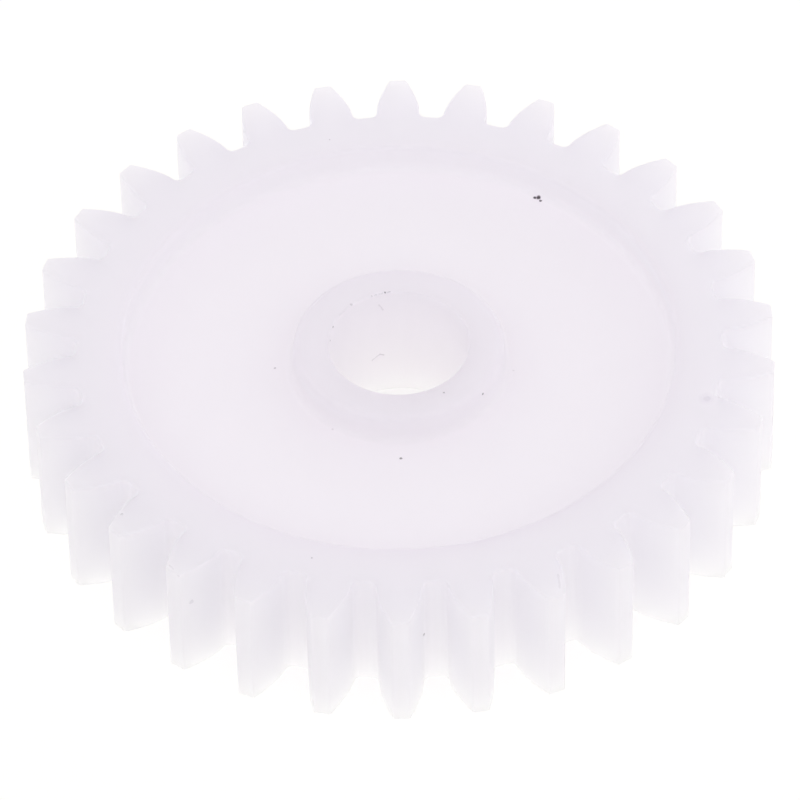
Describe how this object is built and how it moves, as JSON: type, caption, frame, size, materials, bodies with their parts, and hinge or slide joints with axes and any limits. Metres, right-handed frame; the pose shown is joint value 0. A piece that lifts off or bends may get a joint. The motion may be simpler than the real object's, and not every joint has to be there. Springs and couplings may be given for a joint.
{
  "type": "spur gear",
  "caption": "Moulded plastic spur gear with straight involute teeth, a web sunk between rim and hub, and a plain through bore.",
  "frame": {"origin": "centre of the bore at the gear's lower face", "axes": "+Z along the bore, out of the upper face; one tooth is centred on +Y and a tooth space on +X"},
  "size_m": [0.0318, 0.032, 0.006],
  "materials": {
    "acetal": "natural acetal as moulded, translucent white, satin"
  },
  "bodies": {
    "root": {"teeth": "acetal", "rim": "acetal", "web": "acetal", "hub": "acetal"}
  },
  "joints": []
}
